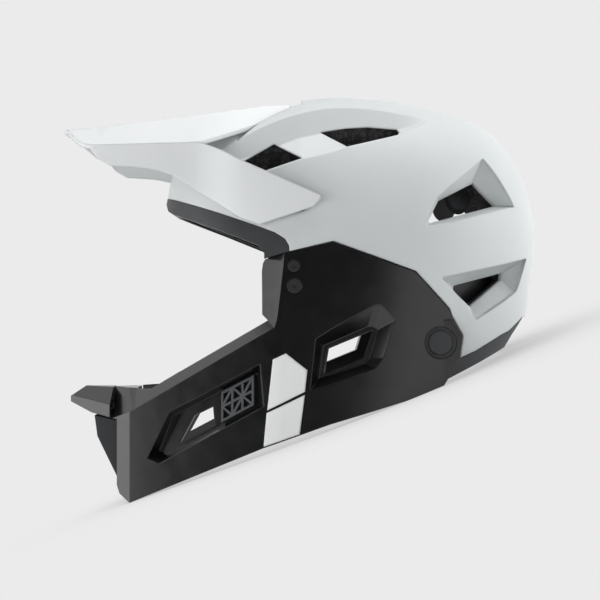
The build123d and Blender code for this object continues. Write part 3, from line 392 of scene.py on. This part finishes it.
def smooth_half_width(x):
    """The swept plan, averaged over a stretch, so that every corner becomes a soft bend."""
    reach = min(BEND_REACH, x - SIDE_PLAN[0][0], SIDE_PLAN[-1][0] - x)
    if reach <= 0:
        return straight_half_width(x, SWEPT_PLAN)
    steps = range(-BEND_STEPS, BEND_STEPS + 1)
    weights = [1 + math.cos(math.pi * step / BEND_STEPS) for step in steps]
    widths = [straight_half_width(x + reach * step / BEND_STEPS, SWEPT_PLAN) for step in steps]
    return sum(w * width for w, width in zip(weights, widths)) / sum(weights)


bends = [smooth_half_width(x) - straight_half_width(x) for x in range(-180, -20)]
print("the bends move by", round(min(bends), 1), "to", round(max(bends), 1), "mm")


# %% Slice a copy and bend it
def as_worn(point):
    """The opposite of worn: millimetres on the worn helmet."""
    along, up = point.x * 1000 - STEP_BACK, point.z * 1000 - STEP_UP
    return Vector((
        along * math.cos(LEAN) - up * math.sin(LEAN),
        point.y * 1000,
        along * math.sin(LEAN) + up * math.cos(LEAN),
    ))


LENGTHWISE = (worn(1, 0, 0) - worn(0, 0, 0)).normalized()
SAME_SPOT = 0.00001
SLICES = range(-140, -24, 4)
BEND_FROM, BEND_FULL = 0.7, 0.9
VISOR_FOLD = 24
mesh = bmesh.new()
mesh.from_mesh(parts["visor"].data)
bmesh.ops.remove_doubles(mesh, verts=mesh.verts, dist=SAME_SPOT)
for x in SLICES:
    every = mesh.verts[:] + mesh.edges[:] + mesh.faces[:]
    cut = {"plane_co": worn(x, 0, 0), "plane_no": LENGTHWISE, "dist": SAME_SPOT}
    bmesh.ops.bisect_plane(mesh, geom=every, **cut)
for point in mesh.verts:
    spot = as_worn(point.co)
    straight = straight_half_width(spot.x)
    share = abs(spot.y) / straight
    nearness = min(max((share - BEND_FROM) / (BEND_FULL - BEND_FROM), 0), 1)
    shift = (smooth_half_width(spot.x) - straight) * nearness / 1000
    point.co.y += shift if spot.y > 0 else -shift
data = bpy.data.meshes.new("visor_swept")
mesh.to_mesh(data)
mesh.free()
if "custom_normal" in data.attributes:
    data.attributes.remove(data.attributes["custom_normal"])
data.polygons.foreach_set("use_smooth", [True] * len(data.polygons))
data.set_sharp_from_angle(angle=math.radians(VISOR_FOLD))
visor = bpy.data.objects.new("visor_swept", data)
bpy.context.collection.objects.link(visor)
data.materials.append(visor_white_painted_light)
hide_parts("visor")
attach(visor, "visor")
print("the visor now has", len(data.polygons), "faces")

# %% [markdown]
# ## Pads
#
# A helmet pad is a slip of soft foam in knitted cloth: its face is crowned, its edge is
# rolled, and a sewn channel or two keep the foam in place. The solid model only says
# where each pad lies. So each pad is copied, rebuilt as an even net of small faces, and
# blown up a little by Blender's cloth under pressure, with a cap on how far any point
# may go. The channel comes last, because a net would swallow it: points near its line
# are simply pressed in.

# %% From a plain solid to an even net
NET_SIZE = 0.0022
NET_SMOOTHING = 6
DRAWN_IN = 0.0011


def settle(piece):
    """Makes what the modifiers do part of the mesh."""
    seen = piece.evaluated_get(bpy.context.evaluated_depsgraph_get())
    mesh = bpy.data.meshes.new_from_object(seen)
    piece.modifiers.clear()
    piece.data = mesh


def netted(source, name):
    """A copy of a part's mesh as an even net, drawn in a little along its normals."""
    mesh = source.data.copy()
    pad = bpy.data.objects.new(name, mesh)
    bpy.context.collection.objects.link(pad)
    net = pad.modifiers.new("net", "REMESH")
    net.mode = "VOXEL"
    net.voxel_size = NET_SIZE
    ease = pad.modifiers.new("ease", "SMOOTH")
    ease.iterations = NET_SMOOTHING
    settle(pad)
    for point in pad.data.vertices:
        point.co -= point.normal * DRAWN_IN
    return pad


# %% Air pressure inside the cloth
PRESSURE = 3.0
PUFFED_AT_MOST = 0.0016
PUFF_FRAMES = 15


def inflate(pad):
    """Blows a net up for a few frames, and lets no point go too far."""
    start = [point.co.copy() for point in pad.data.vertices]
    air = pad.modifiers.new("air", "CLOTH")
    air.settings.use_pressure = True
    air.settings.uniform_pressure_force = PRESSURE
    air.settings.effector_weights.gravity = 0
    air.settings.quality = 4
    for frame in range(1, PUFF_FRAMES + 1):
        bpy.context.scene.frame_set(frame)
    settle(pad)
    bpy.context.scene.frame_set(1)
    for point, was in zip(pad.data.vertices, start):
        step = point.co - was
        if step.length > PUFFED_AT_MOST:
            point.co = was + step.normalized() * PUFFED_AT_MOST
    pad.data.update()


# %% A sewn channel
CHANNEL_WIDTH = 0.0034
CHANNEL_DEPTH = 0.0016


def sew_channels(pad, cuts):
    """Presses the mesh in where it crosses some planes, each a point and a direction."""
    for point in pad.data.vertices:
        for spot, across in cuts:
            away = abs((point.co - spot).dot(across))
            if away < CHANNEL_WIDTH:
                fold = 0.5 + 0.5 * math.cos(math.pi * away / CHANNEL_WIDTH)
                point.co -= point.normal * CHANNEL_DEPTH * fold
    pad.data.update()


# %% [markdown]
# The net has faces of about two millimetres, which is fine enough for a rolled edge.
# All the pads wear the same knit, and each one hides the solid that it stands for and
# rides on the body that it moves with.


def make_pad(node, body, cuts=()):
    """The cloth pad that stands for one of the plain solids."""
    pad = netted(parts[node], node + "_cloth")
    inflate(pad)
    sew_channels(pad, cuts)
    rounder = pad.modifiers.new("rounder", "SUBSURF")
    rounder.levels = rounder.render_levels = 1
    settle(pad)
    pad.data.polygons.foreach_set("use_smooth", [True] * len(pad.data.polygons))
    pad.data.materials.clear()
    pad.data.materials.append(pad_cloth)
    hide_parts(node)
    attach(pad, body)
    return pad


# %% The pads of the head and of the chin bar
SIDEWAYS = Vector((0, 1, 0))
crown_cuts = [(worn(x, 0, 80), LENGTHWISE) for x in (-32, 0, 32)]
brow_cuts = [(worn(-90, y, 30), SIDEWAYS) for y in (-30, 0, 30)]
ear_cuts = [(worn(-8, 0, -20), LENGTHWISE)]
cheek_cuts = [(worn(30, 0, -66), WORN_UP)]
pads = []
for tag in ("_left", "_right"):
    pads.append(make_pad("crown_pad" + tag, "shell", crown_cuts))
    pads.append(make_pad("ear_pad" + tag, "shell", ear_cuts))
    pads.append(make_pad("cheek_pad" + tag, "chin_bar", cheek_cuts))
pads.append(make_pad("brow_pad", "shell", brow_cuts))
pads.append(make_pad("chin_pad", "chin_bar"))
print(len(pads), "pads,", sum(len(p.data.polygons) for p in pads), "faces")

# %% [markdown]
# ## Chin strap
#
# The strap is flat webbing, sixteen millimetres wide. Blowing it up would ruin it, so it
# is swept directly: a flat section with thin edges follows the same route as the solid,
# with a small round at each turn. Fine ribs across it come from the mesh too.

# %% The route of the strap
STRAP_ROUTE = ((-75.4, -20), (-75.2, -36), (-62, -52), (-52, -70), (-36, -82), (-13, -82))
STRAP_TURN = 5.0
STRAP_X = 40.0
STRAP_WIDTH = 16.0
STRAP_THICKNESS = 1.6
RIB_STEP = 0.5
THINNER_BETWEEN = 0.88
STRAP_EDGE = 0.5
STRAP_FLAT = 3


def rounded_route(points, radius, steps=6):
    """The route with each corner replaced by a small arc."""
    route = [Vector(points[0])]
    for before, here, after in zip(points, points[1:], points[2:]):
        before, here, after = Vector(before), Vector(here), Vector(after)
        back, on = (before - here).normalized(), (after - here).normalized()
        reach = radius / math.tan(back.angle(on) / 2)
        for step in range(steps + 1):
            t = step / steps
            start, end = here + back * reach, here + on * reach
            route.append(start * (1 - t) ** 2 + here * 2 * t * (1 - t) + end * t * t)
    route.append(Vector(points[-1]))
    return route


def evened(route, gap):
    """Points along the route at equal steps."""
    found, left = [route[0]], gap
    for start, end in zip(route, route[1:]):
        length = (end - start).length
        while left <= length:
            found.append(start.lerp(end, left / length))
            left += gap
        left -= length
    return found + [route[-1]]


# %% Sweep the webbing
def webbing(name, way):
    """The strap of one side, with a rib every millimetre."""
    route = evened(rounded_route(STRAP_ROUTE, STRAP_TURN), RIB_STEP)
    half, thick = STRAP_WIDTH / 2, STRAP_THICKNESS / 2
    full = half - STRAP_EDGE
    section = [(-half, 0)] + [(x, thick) for x in (-full, -STRAP_FLAT, STRAP_FLAT, full)]
    section += [(-x, -n) for x, n in section]
    mesh = bmesh.new()
    rings = []
    for number, point in enumerate(route):
        before, after = route[max(0, number - 1)], route[min(len(route) - 1, number + 1)]
        run = (after - before).normalized()
        rib = 1.0 if number % 2 else THINNER_BETWEEN
        ring = []
        for x, n in section:
            y = point.x - run.y * n * rib
            z = point.y + run.x * n * rib
            ring.append(mesh.verts.new(worn(STRAP_X + x, y * -way, z)))
        rings.append(ring)
    for first, second in zip(rings, rings[1:]):
        for i in range(len(first)):
            j = (i + 1) % len(first)
            mesh.faces.new((first[i], first[j], second[j], second[i]))
    mesh.faces.new(rings[0])
    mesh.faces.new(reversed(rings[-1]))
    bmesh.ops.recalc_face_normals(mesh, faces=mesh.faces)
    data = bpy.data.meshes.new(name)
    mesh.to_mesh(data)
    mesh.free()
    strap = bpy.data.objects.new(name, data)
    bpy.context.collection.objects.link(strap)
    data.materials.append(strap_cloth)
    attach(strap, "shell")
    return strap


for way, tag in ((-1, "_left"), (1, "_right")):
    strap = webbing("strap_webbing" + tag, way)
    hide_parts("chin_strap" + tag)
    print(strap.name, len(strap.data.polygons), "faces")

# %% [markdown]
# ## Floor, light and camera
#
# The photograph is a plain studio shot: pale ground that runs into a pale background with
# no edge. A lit floor can't do that by itself, since its brightness falls off away from
# the lamps. So what the eye sees of the floor is paper of one even tone, darkened only
# where the helmet stands close over it, and every other ray meets ordinary matte board.
# The room is made the same way: the paper is what the eye sees, while reflections also
# find the dark side of the studio, where the camera stands. That dark side is what makes
# black plastic look black. In a reflection the floor is half as bright again, as paper
# is under lamps, which lights the lower edges of the chin bar.


# %% Small helpers for floor and room
def joined(tree, kind, operation, *sources):
    """A Math or Vector Math node fed by sockets or plain numbers."""
    node = tree.nodes.new(kind)
    node.operation = operation
    for socket, source in zip(node.inputs, sources):
        if isinstance(source, bpy.types.NodeSocket):
            tree.links.new(source, socket)
        else:
            socket.default_value = source
    return node.outputs


def eased(tree, source, start, end, low, high):
    """The source's stretch from start to end, eased into low to high."""
    node = tree.nodes.new("ShaderNodeMapRange")
    node.interpolation_type = "SMOOTHSTEP"
    numbers = {"From Min": start, "From Max": end, "To Min": low, "To Max": high}
    for name, number in numbers.items():
        node.inputs[name].default_value = number
    tree.links.new(source, node.inputs["Value"])
    return node.outputs["Result"]


# %% The room
PAPER = (0.831, 0.831, 0.831)
DARK_SIDE = 0.02
DARK_FROM, DARK_FULL = -0.3, 0.4
ROOM_LIGHT = 0.08
ROOM_TINT = (0.93, 0.97, 1.0)
world = bpy.data.worlds.new("studio")
bpy.context.scene.world = world
world.use_nodes = True
tree = world.node_tree
tree.nodes.clear()
sky_out = tree.nodes.new("ShaderNodeOutputWorld")
rays = tree.nodes.new("ShaderNodeLightPath")
toward = tree.nodes.new("ShaderNodeTexCoord").outputs["Generated"]
near_side = joined(tree, "ShaderNodeVectorMath", "DOT_PRODUCT", toward, (0, -1, 0))["Value"]
dark_side = eased(tree, near_side, DARK_FROM, DARK_FULL, 1.0, DARK_SIDE)
tone = joined(tree, "ShaderNodeMath", "MAXIMUM", dark_side, rays.outputs["Is Camera Ray"])[0]
paper = tree.nodes.new("ShaderNodeBackground")
paper.inputs["Color"].default_value = (*PAPER, 1)
tree.links.new(tone, paper.inputs["Strength"])
lit = tree.nodes.new("ShaderNodeBackground")
lit.inputs["Color"].default_value = (*ROOM_TINT, 1)
lit.inputs["Strength"].default_value = ROOM_LIGHT
either = tree.nodes.new("ShaderNodeMixShader")
tree.links.new(rays.outputs["Is Diffuse Ray"], either.inputs["Fac"])
tree.links.new(paper.outputs[0], either.inputs[1])
tree.links.new(lit.outputs[0], either.inputs[2])
tree.links.new(either.outputs[0], sky_out.inputs["Surface"])
print("the room lights the helmet at", ROOM_LIGHT, "of full strength")

# %% The floor
FLOOR_RADIUS = 6.0
FLOOR_BELOW = 0.0002
floor_mesh = bmesh.new()
bmesh.ops.create_circle(floor_mesh, cap_ends=True, segments=96, radius=FLOOR_RADIUS)
floor_data = bpy.data.meshes.new("floor")
floor_mesh.to_mesh(floor_data)
floor_mesh.free()
floor = bpy.data.objects.new("floor", floor_data)
bpy.context.collection.objects.link(floor)
floor.location.z = -FLOOR_BELOW
print("floor", 2 * FLOOR_RADIUS, "m across")

# %% Paper for the eye, board for the light
DEEPEST_SHADE = 0.62
SHADE_REACH = 0.16
MORE_IN_GLOSS = 0.5
BOARD = (0.55, 0.55, 0.55)
BOARD_ROUGHNESS = 0.9
ground = bpy.data.materials.new("ground")
ground.use_nodes = True
tree = ground.node_tree
matte = tree.nodes["Principled BSDF"]
matte.inputs["Base Color"].default_value = (*BOARD, 1)
matte.inputs["Roughness"].default_value = BOARD_ROUGHNESS
matte.inputs["Specular IOR Level"].default_value = 0.0
closeness = tree.nodes.new("ShaderNodeAmbientOcclusion")
closeness.samples = 12
closeness.inputs["Distance"].default_value = SHADE_REACH
shadow = eased(tree, closeness.outputs["AO"], 0.1, 1.0, DEEPEST_SHADE, 1.0)
rays = tree.nodes.new("ShaderNodeLightPath")
board = tree.nodes.new("ShaderNodeEmission")
board.inputs["Color"].default_value = (*PAPER, 1)
in_gloss = rays.outputs["Is Glossy Ray"]
lift = joined(tree, "ShaderNodeMath", "MULTIPLY_ADD", in_gloss, MORE_IN_GLOSS, 1.0)[0]
tone = joined(tree, "ShaderNodeMath", "MULTIPLY", shadow, lift)[0]
tree.links.new(tone, board.inputs["Strength"])
blend = tree.nodes.new("ShaderNodeMixShader")
tree.links.new(rays.outputs["Is Diffuse Ray"], blend.inputs["Fac"])
tree.links.new(board.outputs[0], blend.inputs[1])
tree.links.new(matte.outputs[0], blend.inputs[2])
tree.links.new(blend.outputs[0], tree.nodes["Material Output"].inputs["Surface"])
floor_data.materials.append(ground)
print("paper at", PAPER[0], "and shade down to", DEEPEST_SHADE, "of it")

# %% [markdown]
# The light is soft. Most of it falls from above the worn helmet, so the top is nearly
# white and the side is grey. A lamp behind brings out the back of the dome, a small one in
# front lights the folds of the chin bar, and two faint ones on the camera's side, one
# high and one low, open the shade below the visor and on the white stripe. Glossy black
# would show them as pale patches, so they and the lamp behind are left out of
# reflections, as a photographer would move them out of the mirror.

# %% Soft lamps
MIDDLE = worn(-30, 0, -20)


def soft_lamp(name, spot, size, power, mirrored=True):
    """A square lamp that is turned to the helmet, and whether gloss mirrors it."""
    lamp = bpy.data.lights.new(name, "AREA")
    lamp.energy = power
    lamp.size = size
    holder = bpy.data.objects.new(name, lamp)
    bpy.context.collection.objects.link(holder)
    holder.location = spot
    holder.rotation_euler = (MIDDLE - spot).to_track_quat("-Z", "Y").to_euler()
    holder.visible_glossy = mirrored
    print("lamp", name, power, "W")


soft_lamp("top", worn(-150, 0, 1200), 1.0, 9.5)
soft_lamp("front", worn(-1100, -250, -50), 0.7, 5)
soft_lamp("behind", worn(1000, -250, 300), 0.8, 15.5, mirrored=False)
soft_lamp("near", worn(-350, -1250, 250), 0.9, 2, mirrored=False)
soft_lamp("low", worn(-900, -1000, -200), 0.9, 4.5, mirrored=False)

# %% [markdown]
# ## Camera
#
# The photograph was taken square to the left side from a step away, with the brow level.
# The helmet on the table leans back, so the camera rolls with it: its upright is the
# upright of the worn helmet.

# %% The camera
LENS = 106.1
EYE_SPOT = worn(-40, -1300, -30)
eye = bpy.data.cameras.new("eye")
eye.sensor_width = 36
eye.lens = LENS
camera = bpy.data.objects.new("eye", eye)
bpy.context.collection.objects.link(camera)
look = Vector((0, 1, 0))
right = look.cross(WORN_UP).normalized()
turn = Matrix((right, WORN_UP, -look)).transposed().to_4x4()
camera.matrix_world = Matrix.Translation(EYE_SPOT) @ turn
bpy.context.scene.camera = camera
bpy.context.scene.view_settings.view_transform = "Standard"
print("camera", [round(v, 3) for v in camera.location])
